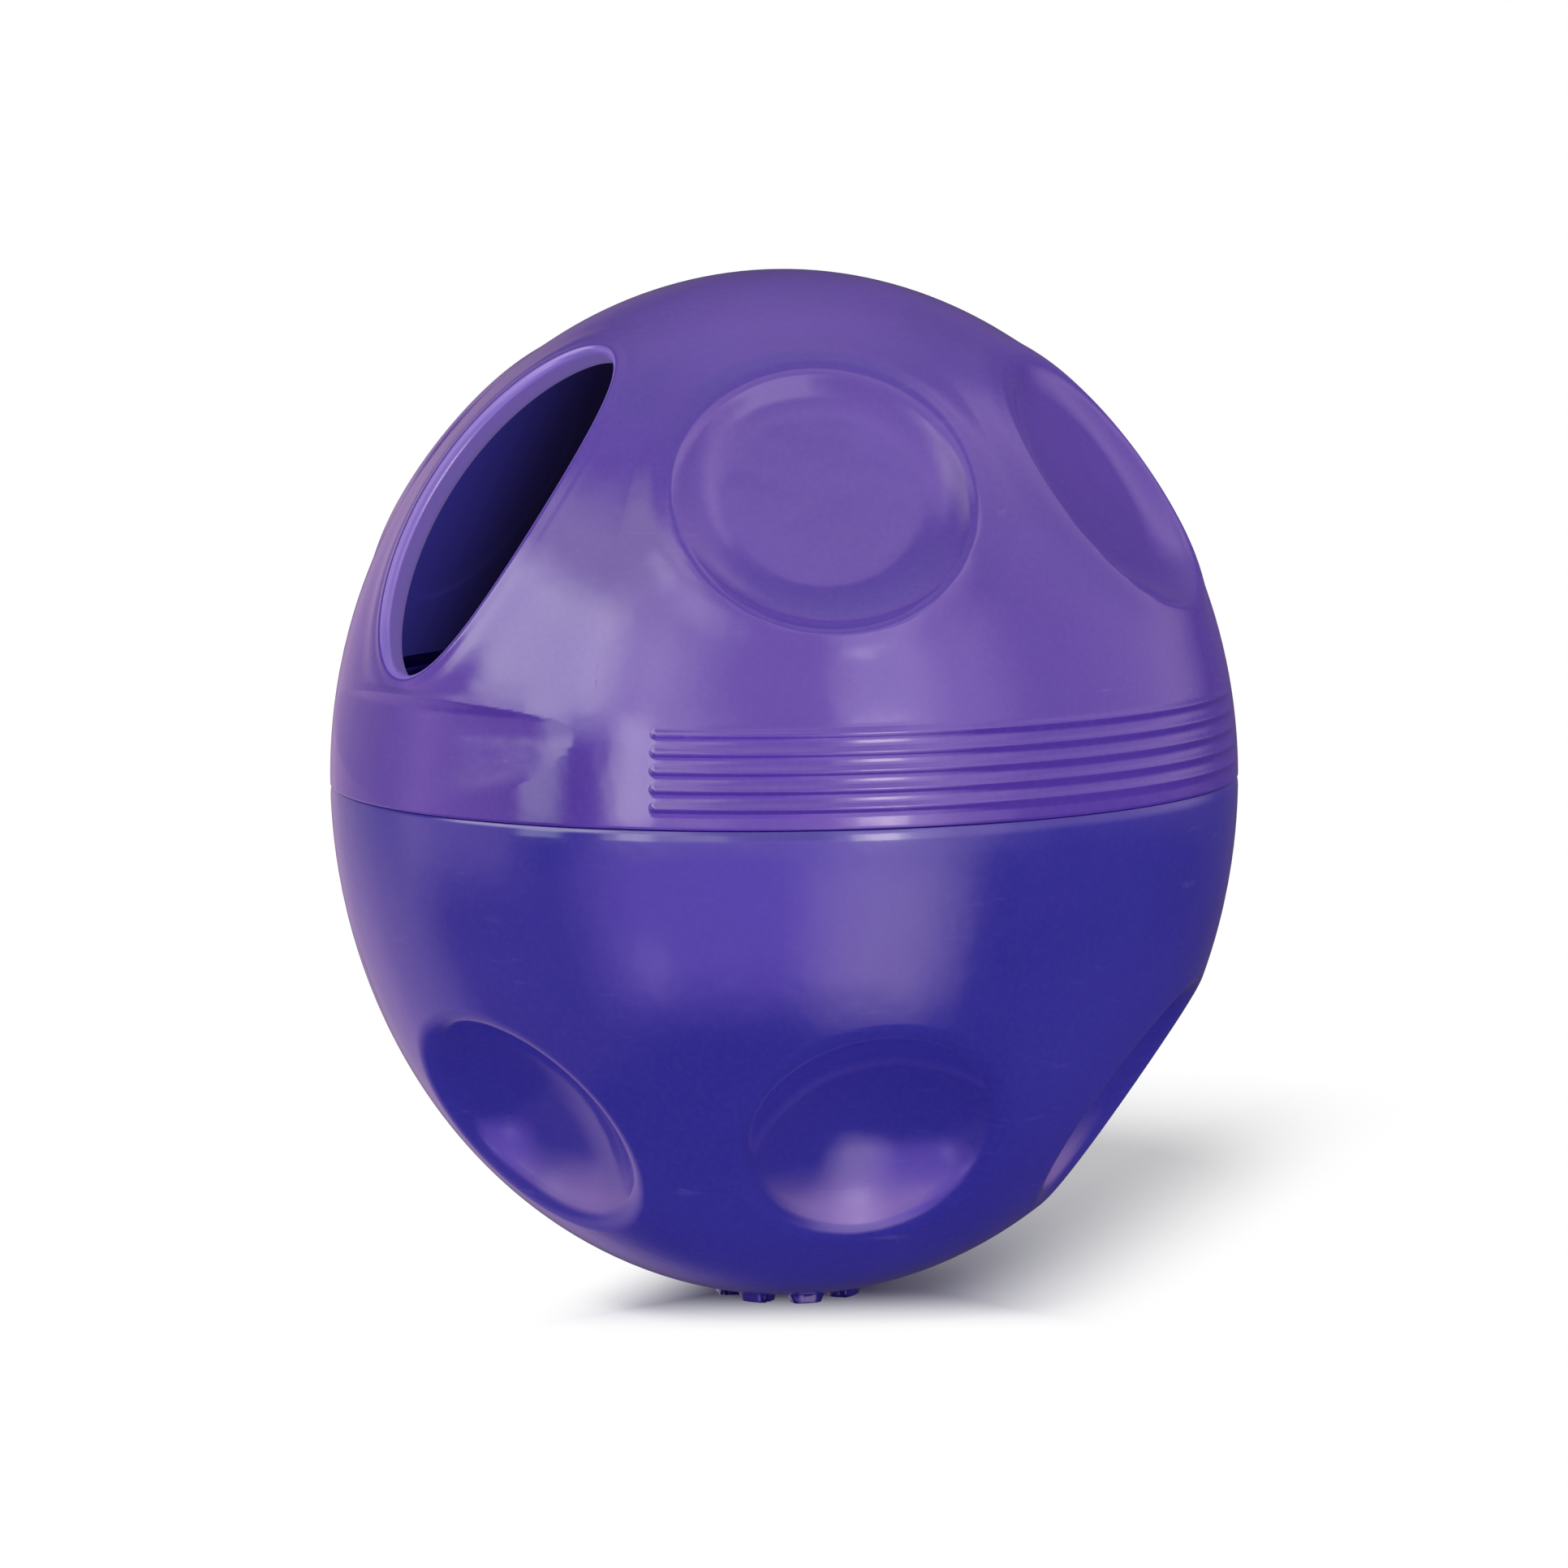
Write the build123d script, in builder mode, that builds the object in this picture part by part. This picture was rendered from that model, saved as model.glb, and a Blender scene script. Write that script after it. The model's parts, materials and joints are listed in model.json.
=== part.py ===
from build123d import *
import math
import os

# Treat dispensing ball: two hollow half shells that join at a parting plane.
# Frame: origin at the centre of the closed ball's box, +Z up through the half
# that has the treat opening, and the opening faces -Y.  Both shells are drawn
# with the parting plane at height 0 and lifted into that frame at the end.
# Azimuths are measured from -Y towards +X, and all lengths are in millimetres.

# ---- driving dimensions ----------------------------------------------------
equator_radius = 31.0        # outer radius at the parting plane
crown_height = 34.5          # parting plane to the top of the upper half
base_height = 35.7           # parting plane to the bottom of the lower half
wall = 1.4                   # moulded wall of both halves
hollow_overrun = 1.0         # how far each hollow runs past its shell's open end
dimple_pitch = 60            # angle between neighbouring dimples, both halves

# round finger dimples of the upper half; the opening takes the sixth place
upper_dimple_z = 21.15       # height of the dimple centre on the surface
upper_dimple_tilt = 32.0     # elevation of the dimple axis
upper_dimple_lift = 0.5      # shift up the surface that centres the rim
upper_dimple_depth = 2.55    # below the surface at the centre
upper_dimple_floor = 6.1     # radius of the flat floor
upper_dimple_blend = 6.0     # radius of the wall's concave arc
upper_dimple_sweep = 62      # angle the arc turns through
upper_dimple_rise = 4.0      # straight end of the cutting tool above the arc
upper_rim_radius = 0.3       # crisp rounding of the rim
upper_dimple_azimuths = [dimple_pitch * i for i in range(1, 6)]

# oval treat opening of the upper half
opening_azimuth = 1.1
opening_z = 20.3
opening_tilt = 32.0
opening_half_width = 6.6
opening_half_length = 12.4
opening_roll = -9.0          # lean of the long axis
opening_reach = 12           # cutting tool to each side of the surface
opening_lip = 0.55           # rounding of the outer lip

# bowl-shaped dimples of the lower half
lower_dimple_z = -21.86
lower_dimple_tilt = -33.0
lower_dimple_depth = 5.2
lower_dimple_bowl = 11.5     # radius of the spherical bowl
lower_rim_radius = 1.4       # soft rounding of the rim
lower_dimple_azimuths = [6.6 + dimple_pitch * i for i in range(6)]

# limits that pick the cut edges on the outside
rim_min_height = 8           # rims lie further than this from the parting plane
lip_max_x = 9                # the lip lies within this distance of the YZ plane
edge_tolerance = 1e-3

# grip band of the upper half
rib_lowest = 1.38
rib_pitch = 1.16
rib_count = 5
rib_radius = 0.42            # section radius of a rib
rib_proud = 0.17             # how far a rib stands out of the shell
ribbed_start = 37.5          # azimuth where the first ribbed arc starts
ribbed_arc = 92.5            # length of each of the two ribbed arcs, degrees
band_top = 7.6
side_azimuths = (0, 180)     # the band repeats on these two sides

# shallow scoop in the middle of the smooth part of the band, on two sides
scoop_top = 7.45             # crisp upper edge
scoop_edge_depth = 0.04      # depth of the scoop at that edge
scoop_shift = 6.0            # how far the scoop's own axis lies behind
scoop_arc = 64.0             # arc of the cutting tool, wider than the scoop
scoop_tool_radius = equator_radius + 9
scoop_profile = [            # (radius from the ball's axis, height), downwards
    (30.02, 6.95), (29.95, 6.10), (30.12, 5.00),
    (30.50, 3.00), (30.86, 1.20), (31.10, -0.30),
]

# parting joint
seam_gap = 0.1               # height of the gap between the two rims
rim_recess = 0.28            # how far the lower rim is set back
rim_blend = 0.80             # height over which it comes back out
neck_outer = 28.52
neck_inner = 27.10
neck_top = 6.8
neck_chamfer = 0.3
neck_start = -4              # the neck is drawn up from here, inside the shell
neck_root = -2.4             # where the neck starts to open into the bowl
neck_foot = -8.0             # where it meets the bowl's wall

# bayonet lock: ridges and stops in the upper rim, lugs on the neck
lock_count = 3
lock_azimuth = 50.0          # where the first ridge starts
lock_starts = [lock_azimuth + i * 360 / lock_count for i in range(lock_count)]
ridge_inner = 28.60          # bore that guides the neck, 0.08 clear of it
ridge_low = 1.30
ridge_high = 2.80
ridge_arc = 45.0
ridge_chamfer = 0.25         # at the lower inner corner
ridge_drop = 0.5             # fall of the underside towards the wall
ridge_embed = 0.3            # how far a ridge is sunk into the wall
stop_arc = 5.0
stop_high = 4.80
stop_rise = 0.6              # rise of the top towards the wall
stop_embed = 0.1             # how far the stop's top is sunk into the wall
stop_overlap = 0.1           # how far a stop reaches down into its ridge
lug_outer = 29.10
lug_low = 2.90
lug_high = 4.50
lug_arc = 38.0
lug_play = 1.0               # angle between a lug and its stop when locked
lug_embed = 0.3              # how far a lug is sunk into the neck
lug_rise = 0.2               # rise of the top towards the neck
lug_corner_width = 0.25      # bevel of the upper outer corner
lug_corner_height = 0.3

# foot pads under the lower half
pad_count = 8
pad_circle = 4.3             # radius of the circle they stand on
pad_width = 2.4              # along the circle
pad_depth = 1.9              # across the circle
pad_corner = 0.7
pad_face = -35.85            # the plane they stand on
pad_height = 3.0             # drawn height, mostly inside the shell

# height of the parting plane over the centre of the closed ball
parting_z = -(crown_height + pad_face) / 2


# ---- shared geometry -------------------------------------------------------
def outer_radius(z, half_height):
    """Radius of the egg-shaped outside at height z."""
    return equator_radius * math.sqrt(1 - (z / half_height) ** 2)


def upper_point(z):
    """Point (radius, height) on the outside of the upper half."""
    return outer_radius(z, crown_height), z


def egg(half_height, inset, z_start, count=15):
    """Spline on the egg-shaped profile from z_start to its pole, as (radius, height)."""
    half_width = equator_radius - inset
    pole = math.copysign(abs(half_height) - inset, half_height)
    first = math.asin(z_start / pole)
    turns = [first + (math.pi / 2 - first) * i / (count - 1) for i in range(count)]
    points = [(half_width * math.cos(turn), pole * math.sin(turn)) for turn in turns]
    points[-1] = (0, pole)
    start = (-half_width * math.sin(first), pole * math.cos(first))
    return Spline(*points, tangents=(start, (-1, 0)))


def section_at(azimuth, origin=(0, 0, 0)):
    """Upright plane through origin, local x outwards at the azimuth and local y up."""
    angle = math.radians(azimuth - 90)
    return Plane(
        origin=origin,
        x_dir=(math.cos(angle), math.sin(angle), 0),
        z_dir=(math.sin(angle), -math.cos(angle), 0),
    )


def tilted_plane(z, half_height, tilt, roll=0.0):
    """Plane on the outside facing -Y, its normal at the given elevation."""
    tilt = math.radians(tilt)
    roll = math.radians(roll)
    tangent = Vector(1, 0, 0)
    meridian = Vector(0, math.sin(tilt), math.cos(tilt))
    return Plane(
        origin=(0, -outer_radius(z, half_height), z),
        x_dir=tangent * math.cos(roll) + meridian * math.sin(roll),
        z_dir=(0, -math.cos(tilt), math.sin(tilt)),
    )


def on_outside(edge, half_height):
    """True for an edge cut into the outside, but not for the surface's own seam at Y = 0."""
    p = edge.position_at(0.5)
    level = (p.X**2 + p.Y**2) / equator_radius**2 + (p.Z / half_height) ** 2
    return (
        abs(level - 1) < edge_tolerance
        and abs(p.Z) > rim_min_height
        and abs(p.Y) > edge_tolerance
    )


def on_lip(edge):
    """True for an outside edge of the treat opening."""
    p = edge.position_at(0.5)
    return on_outside(edge, crown_height) and p.Y < 0 and abs(p.X) < lip_max_x


# ---- tools of the upper shell ----------------------------------------------
def make_upper_dimple(extra=0):
    """Solid of an upper dimple at azimuth 0, grown outwards by extra."""
    plane = tilted_plane(upper_dimple_z, crown_height, upper_dimple_tilt)
    plane.origin = plane.origin + plane.y_dir * upper_dimple_lift
    # holds the dimple's axis, local y along it
    section = Plane(
        origin=plane.origin, x_dir=plane.x_dir, z_dir=plane.x_dir.cross(plane.z_dir)
    )
    arc_radius = upper_dimple_blend + extra
    arc_centre_y = upper_dimple_blend - upper_dimple_depth

    def arc_point(angle):
        return (
            upper_dimple_floor + arc_radius * math.sin(angle),
            arc_centre_y - arc_radius * math.cos(angle),
        )

    sweep = math.radians(upper_dimple_sweep)
    floor = arc_point(0)
    end = arc_point(sweep)
    top = (end[0], end[1] + upper_dimple_rise)
    with BuildPart() as dimple:
        with BuildSketch(section):
            with BuildLine():
                Line((0, floor[1]), floor)
                ThreePointArc(floor, arc_point(sweep / 2), end)
                Line(end, top)
                Line(top, (0, top[1]))
                Line((0, top[1]), (0, floor[1]))
            make_face()
        revolve(axis=Axis(plane.origin, plane.z_dir))
    return dimple.part


def make_opening():
    """Oval cutting tool of the treat opening at azimuth 0."""
    plane = tilted_plane(opening_z, crown_height, opening_tilt, opening_roll)
    with BuildPart() as opening:
        with BuildSketch(plane.offset(-opening_reach)):
            Ellipse(opening_half_width, opening_half_length)
        extrude(amount=2 * opening_reach)
    return opening.part


def make_upper_hollow():
    """Hollow of the upper half, with the backs of the dimples standing into it."""
    dimple_back = make_upper_dimple(extra=wall)
    bore = equator_radius - wall
    with BuildPart() as hollow:
        with BuildSketch(Plane.XZ):
            with BuildLine():
                inner = egg(crown_height, wall, 0)
                Line(inner @ 1, (0, -hollow_overrun))
                Line((0, -hollow_overrun), (bore, -hollow_overrun))
                Line((bore, -hollow_overrun), inner @ 0)
            make_face()
        revolve(axis=Axis.Z)
        for azimuth in upper_dimple_azimuths:
            add(dimple_back, rotation=(0, 0, azimuth), mode=Mode.SUBTRACT)
    return hollow.part


def make_band():
    """Solid below band_top: two ribbed and two smooth sectors."""
    rib_half = math.sqrt(rib_radius**2 - (rib_radius - rib_proud) ** 2)
    ribs = []                # (lower end, crest, upper end) of each rib
    for i in range(rib_count):
        z = rib_lowest + rib_pitch * i
        crest = (outer_radius(z, crown_height) + rib_proud, z)
        ribs.append((upper_point(z - rib_half), crest, upper_point(z + rib_half)))
    foot = upper_point(0.0)
    edge = upper_point(band_top)
    # the smooth sectors keep corners where the ribs would start and end
    smooth = [foot] + [point for low, _, high in ribs for point in (low, high)]

    with BuildPart() as band:
        for side in side_azimuths:
            with BuildSketch(section_at(side + ribbed_start)):
                with BuildLine():
                    at = foot
                    for low, crest, high in ribs:
                        Line(at, low)
                        ThreePointArc(low, crest, high)
                        at = high
                    Line(at, edge)
                    Line(edge, (0, band_top))
                    Line((0, band_top), (0, 0))
                    Line((0, 0), foot)
                make_face()
            revolve(axis=Axis.Z, revolution_arc=ribbed_arc)
            with BuildSketch(section_at(side + ribbed_start + ribbed_arc)):
                with BuildLine():
                    Polyline(*smooth, edge, (0, band_top), (0, 0), close=True)
                make_face()
            revolve(axis=Axis.Z, revolution_arc=180 - ribbed_arc)
    return band.part


def make_scoops():
    """Cutting tools of the scoops.

    Each turns about an axis behind the ball's own, so a scoop is deepest at
    its middle and runs out to nothing on both sides.
    """
    edge_radius = outer_radius(scoop_top, crown_height) - scoop_edge_depth
    profile = [(edge_radius, scoop_top)] + scoop_profile
    bottom = scoop_profile[-1][1]
    with BuildPart() as scoops:
        for side in side_azimuths:
            behind = tuple(section_at(side).x_dir * -scoop_shift)
            with BuildSketch(section_at(side - scoop_arc / 2, origin=behind)):
                with BuildLine():
                    scoop = Spline(*[(radius + scoop_shift, z) for radius, z in profile])
                    Line(scoop @ 1, (scoop_tool_radius, bottom))
                    Line((scoop_tool_radius, bottom), (scoop_tool_radius, scoop_top))
                    Line((scoop_tool_radius, scoop_top), scoop @ 0)
                make_face()
            revolve(axis=Axis(behind, (0, 0, 1)), revolution_arc=scoop_arc)
    return scoops.part


def make_locks():
    """Bayonet ridges inside the upper rim, each with a stop wall at its far end."""
    bore = equator_radius - wall
    root = bore + ridge_embed
    ridge = [
        (ridge_inner, ridge_low + ridge_chamfer),
        (ridge_inner + ridge_chamfer, ridge_low),
        (root, ridge_low - ridge_drop),
        (root, ridge_high),
        (ridge_inner, ridge_high),
    ]
    stop = [
        (ridge_inner, ridge_high - stop_overlap),
        (ridge_inner, stop_high),
        (bore + stop_embed, stop_high + stop_rise),
        (root, ridge_high - stop_overlap),
    ]
    with BuildPart() as locks:
        for lock_start in lock_starts:
            for profile, start, arc in (
                (ridge, lock_start, ridge_arc + stop_arc),
                (stop, lock_start + ridge_arc, stop_arc),
            ):
                with BuildSketch(section_at(start)):
                    with BuildLine():
                        Polyline(*profile, close=True)
                    make_face()
                revolve(axis=Axis.Z, revolution_arc=arc)
    return locks.part


# ---- upper shell -----------------------------------------------------------
def make_upper_shell():
    dimple = make_upper_dimple()
    opening = make_opening()
    band = make_band()
    scoops = make_scoops()
    hollow = make_upper_hollow()
    locks = make_locks()
    with BuildPart() as shell:
        # dome above the band
        with BuildSketch(Plane.XZ):
            with BuildLine():
                outer = egg(crown_height, 0, band_top)
                Line(outer @ 1, (0, band_top))
                Line((0, band_top), outer @ 0)
            make_face()
        revolve(axis=Axis.Z)

        # dimples with a crisp rim, and the treat opening with a rounded lip
        for azimuth in upper_dimple_azimuths:
            add(dimple, rotation=(0, 0, azimuth), mode=Mode.SUBTRACT)
        rims = shell.edges().filter_by(lambda e: on_outside(e, crown_height))
        fillet(rims, upper_rim_radius)
        add(opening, rotation=(0, 0, opening_azimuth), mode=Mode.SUBTRACT)
        fillet(shell.edges().filter_by(on_lip), opening_lip)

        # grip band and its scoops
        add(band)
        add(scoops, mode=Mode.SUBTRACT)

        # hollow, and the lock inside the rim
        add(hollow, mode=Mode.SUBTRACT)
        add(locks)
    return shell.part


# ---- lower shell -----------------------------------------------------------
lower_plane = tilted_plane(lower_dimple_z, base_height, lower_dimple_tilt)
bowl_centre = lower_plane.origin + lower_plane.z_dir * (lower_dimple_bowl - lower_dimple_depth)
bowl_centres = [tuple(bowl_centre.rotate(Axis.Z, a)) for a in lower_dimple_azimuths]


def make_lower_hollow():
    """Hollow of the lower half, with the backs of the bowls standing into it."""
    top = neck_top + hollow_overrun
    with BuildPart() as hollow:
        with BuildSketch(Plane.XZ):
            with BuildLine():
                inner = egg(-base_height, wall, neck_foot)
                Line((0, top), (neck_inner, top))
                Line((neck_inner, top), (neck_inner, neck_root))
                Line((neck_inner, neck_root), inner @ 0)
                Line(inner @ 1, (0, top))
            make_face()
        revolve(axis=Axis.Z)
        for centre in bowl_centres:
            with Locations(centre):
                Sphere(lower_dimple_bowl + wall, mode=Mode.SUBTRACT)
    return hollow.part


def make_lower_shell():
    hollow = make_lower_hollow()
    with BuildPart() as shell:
        # solid half, its rim set back at the seam
        with BuildSketch(Plane.XZ):
            with BuildLine():
                outer = egg(-base_height, 0, -rim_blend)
                rim = (equator_radius - rim_recess, -seam_gap)
                TangentArc(outer @ 0, rim, tangent=-(outer % 0))
                Line(rim, (0, -seam_gap))
                Line((0, -seam_gap), outer @ 1)
            make_face()
        revolve(axis=Axis.Z)

        # bowls with softly rounded rims
        for centre in bowl_centres:
            with Locations(centre):
                Sphere(lower_dimple_bowl, mode=Mode.SUBTRACT)
        rims = shell.edges().filter_by(lambda e: on_outside(e, base_height))
        fillet(rims, lower_rim_radius)

        # foot pads
        with BuildSketch(Plane.XY.offset(pad_face)):
            with PolarLocations(pad_circle, pad_count, start_angle=180 / pad_count):
                RectangleRounded(pad_depth, pad_width, pad_corner)
        extrude(amount=pad_height)

        # neck that goes up inside the upper shell
        with BuildSketch(Plane.XY.offset(neck_start)):
            Circle(neck_outer)
        extrude(amount=neck_top - neck_start)
        chamfer(shell.faces().sort_by(Axis.Z)[-1].edges(), neck_chamfer)
        add(hollow, mode=Mode.SUBTRACT)

        # locking lugs
        for lock_start in lock_starts:
            start = lock_start + ridge_arc - lug_play - lug_arc
            with BuildSketch(section_at(start)):
                with BuildLine():
                    Polyline(
                        (neck_outer - lug_embed, lug_low),
                        (lug_outer, lug_low),
                        (lug_outer, lug_high - lug_corner_height),
                        (lug_outer - lug_corner_width, lug_high),
                        (neck_outer - lug_embed, lug_high + lug_rise),
                        close=True,
                    )
                make_face()
            revolve(axis=Axis.Z, revolution_arc=lug_arc)
    return shell.part


# ---- both shells in the ball's own frame -----------------------------------
def export_lifted(name, drawn):
    """Lift a drawn shell into the ball's frame and write its file."""
    with BuildPart() as shell:
        with Locations((0, 0, parting_z)):
            add(drawn)
    shell.part.label = name
    export_step(shell.part, f"parts/{name}.step")


os.makedirs("parts", exist_ok=True)
export_lifted("upper_shell", make_upper_shell())
export_lifted("lower_shell", make_lower_shell())
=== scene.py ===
"""Purple treat ball: two egg-shaped plastic halves joined by a twist lock.

The ball stands upright, its axis on Z.  The upper half has five finger dimples, an oval treat
opening and ribs round its band; the lower half has six bowls and a ring of foot pads.
Shell geometry is in millimetres about the parting plane until a mesh is built; the studio is
in metres.  Azimuths are in degrees from -Y towards +X.
"""
import bpy
import json
import math
import numpy as np
from mathutils import Matrix, Vector
from types import SimpleNamespace as Spec

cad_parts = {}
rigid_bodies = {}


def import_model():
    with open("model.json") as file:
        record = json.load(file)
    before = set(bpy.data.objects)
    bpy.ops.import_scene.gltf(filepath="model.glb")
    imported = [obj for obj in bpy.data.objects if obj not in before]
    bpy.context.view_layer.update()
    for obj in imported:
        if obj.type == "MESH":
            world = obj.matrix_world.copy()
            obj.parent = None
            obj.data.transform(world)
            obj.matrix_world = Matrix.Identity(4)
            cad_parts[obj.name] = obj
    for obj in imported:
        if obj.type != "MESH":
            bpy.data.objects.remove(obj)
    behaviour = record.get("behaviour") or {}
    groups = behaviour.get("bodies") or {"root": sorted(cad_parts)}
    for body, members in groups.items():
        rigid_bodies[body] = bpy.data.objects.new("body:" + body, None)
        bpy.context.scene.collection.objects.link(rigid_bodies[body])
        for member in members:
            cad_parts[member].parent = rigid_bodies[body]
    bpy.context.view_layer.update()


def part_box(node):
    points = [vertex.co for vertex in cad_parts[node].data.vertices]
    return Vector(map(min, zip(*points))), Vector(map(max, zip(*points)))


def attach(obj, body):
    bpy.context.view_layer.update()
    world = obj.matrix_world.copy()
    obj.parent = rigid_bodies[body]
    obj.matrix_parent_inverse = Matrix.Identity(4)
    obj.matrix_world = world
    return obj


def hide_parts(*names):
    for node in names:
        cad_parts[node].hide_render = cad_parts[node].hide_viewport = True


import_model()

MM = 0.001
PART_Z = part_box("upper_shell")[0][2] / MM   # parting plane over the frame's origin
RADIAL_FIT = 0.99993                        # slight shrink of the finished meshes in x and y

# ---------------------------------------------------------------------------
# Dimensions

EQUATOR, TOP_HEIGHT, BASE_HEIGHT, WALL = 31.0, 34.5, 35.7, 1.4

# Dimples are a flat floor of radius flat, rounded up by an arc; z, tilt, roll and lift place
# the feature's frame.  even is how far columns are evened out.  Each side of the wall has an
# edge radius, then rows from the sector's edge to the radius start (the first step a share
# of the way), then rows at the given radii.
# A bead is a sum of humps: height, distance from the mouth, width.
DISC = Spec(
    z=21.15, tilt=32.0, roll=0.0, lift=0.5, depth=2.55, flat=6.1, arc=6.0, even=0.65,
    mouth=9.47, bead=[(0.05, 0.35, 0.35), (0.22, 1.2, 1.4)],
    outside=Spec(
        edge=0.30, start=9.67, first=0.11, steps=15,
        radii=[9.56, 9.49, 9.42, 9.35, 9.27, 9.16, 9.0, 8.75, 8.4, 8.0, 7.5, 7.0, 6.55, 6.2,
               5.6, 4.6, 3.4, 2.0, 0.8]),
    inside=Spec(
        edge=0.30, start=11.05, first=0.10, steps=8,
        radii=[9.95, 9.05, 8.2, 6.9, 6.1, 4.0, 1.8]))
BOWL = Spec(
    z=-21.86, tilt=-33.0, roll=0.0, lift=0.0, depth=5.2, flat=0.0, arc=11.5, even=0.6,
    bead=[],
    outside=Spec(
        edge=0.95, start=10.1, first=0.13, steps=9,
        radii=[9.85, 9.65, 9.47, 9.3, 9.13, 8.96, 8.79, 8.62, 8.44, 8.25, 8.0, 7.6, 6.9, 5.8,
               4.4, 2.9, 1.4]),
    inside=Spec(
        edge=0.6, start=10.9, first=0.13, steps=6,
        radii=[10.4, 9.9, 9.3, 8.2, 6.8, 5.2, 3.4, 1.6]))
# Oval treat opening: half width and half height, edge radii outside (lip) and inside (back)
OPENING = Spec(
    azimuth=1.1, z=20.3, tilt=32.0, roll=-9.0, lift=0.0, half_width=6.6, half_height=12.4,
    lip=0.45, back=0.3, even=0.55, first=0.12, bead=[(0.2, 0.6, 0.42), (0.26, 1.5, 1.3)])

# Each half has six 60 degree sectors, the first centred on first_azimuth, between the
# heights band and cap (away from the parting plane); sign is the half's side of that plane.
UPPER = Spec(sign=1, height=TOP_HEIGHT, first_azimuth=0, band=7.72, cap=31.9,
             side_rows=30, cap_columns=26)
LOWER = Spec(sign=-1, height=BASE_HEIGHT, first_azimuth=6.6, band=9.0, cap=32.3,
             side_rows=28, cap_columns=32)

RIBS = [1.38, 2.54, 3.70, 4.86, 6.02]   # heights of the ribs' centre lines
RIB_RADIUS, RIB_RISE, RIB_SHARPNESS, RIB_TAPER = 0.42, 0.17, 2.6, 0.6
RIB_ARCS = [(37.5, 130.0), (217.5, 310.0)]

# Twist lock, three times round: a ridge ending in a stop, and a lug that runs along it
NECK_OUT, NECK_IN, NECK_TOP = 28.52, 27.10, 6.8
RIDGE_IN, LUG_OUT = 28.60, 29.10
LOCK_START, RIDGE_ARC, STOP_ARC, LUG_ARC, LUG_PLAY = 50.0, 45.0, 5.0, 38.0, 1.0
LOCK_END = RIDGE_ARC + STOP_ARC
LUG_END = RIDGE_ARC - LUG_PLAY
LUG_START = LUG_END - LUG_ARC

COLUMN_STEP = 0.75                        # degrees between plain columns
BUNCH_HALF_WIDTH, BUNCH_STEP = 1.4, 0.2   # finer columns round a rib's end
LOCK_FLANK = 0.06                         # degrees a lock part takes to rise

# Band of the upper shell: two opposite scoops, given by height and radius in their middle
SCOOP_SHIFT, SCOOP_BOTTOM, SCOOP_TOP = 6.0, -0.3, 7.45
BAND_EDGE = 0.1

# Lower rim: set back from the egg, blended in over RIM_BLEND
RIM_BLEND, RIM_TOP_Z = 0.8, -0.035
RIM_TOP_RADIUS = EQUATOR - 0.17

# Foot pads: rounded rectangles on a ring; PAD_EDGE is the width of their sides
PAD_Z, PAD_RING, PAD_COUNT = -35.85, 4.3, 8
PAD_WIDTH, PAD_DEPTH, PAD_CORNER, PAD_EDGE = 2.4, 1.9, 0.7, 0.15

OUTER_SLOT, EDGE_SLOT = 0, 2   # material slots; slot 1 is the inside of the sectors


# ---------------------------------------------------------------------------
# Distances and surfaces

def smooth(t):
    t = np.clip(t, 0.0, 1.0)
    return t * t * (3 - 2 * t)


def unit(v):
    return v / np.maximum(np.linalg.norm(v, axis=-1), 1e-12)[..., None]


def rounded_max(first, second, radius):
    """Rounded intersection of two distances: an outside corner of the given radius."""
    u, v = np.maximum(first + radius, 0), np.maximum(second + radius, 0)
    return np.minimum(np.maximum(first, second), -radius) + np.hypot(u, v)


def scaled_distance(k0, k1):
    """Near-surface distance to an ellipse or ellipsoid from its two scaled lengths."""
    return k0 * (k0 - 1) / np.maximum(k1, 1e-9)


def egg(points, radius, height):
    """Near-surface distance to the egg-shaped half."""
    flat = points[..., 0] ** 2 + points[..., 1] ** 2
    k0 = np.sqrt(flat / radius**2 + points[..., 2] ** 2 / height**2)
    k1 = np.sqrt(flat / radius**4 + points[..., 2] ** 2 / height**4)
    return scaled_distance(k0, k1)


def egg_radius(z, radius, height):
    return radius * np.sqrt(np.maximum(1 - (z / height) ** 2, 0))


def skin_size(half, inside):
    """Equator radius and height of a half's outer or inner skin."""
    wall = WALL if inside else 0.0
    return EQUATOR - wall, half.height - wall


def polar(azimuth, radius, z):
    """Points from azimuth in degrees, radius and height."""
    angle, radius, z = np.broadcast_arrays(np.radians(azimuth), radius, z)
    return np.stack([np.sin(angle) * radius, -np.cos(angle) * radius, z], -1)


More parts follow.
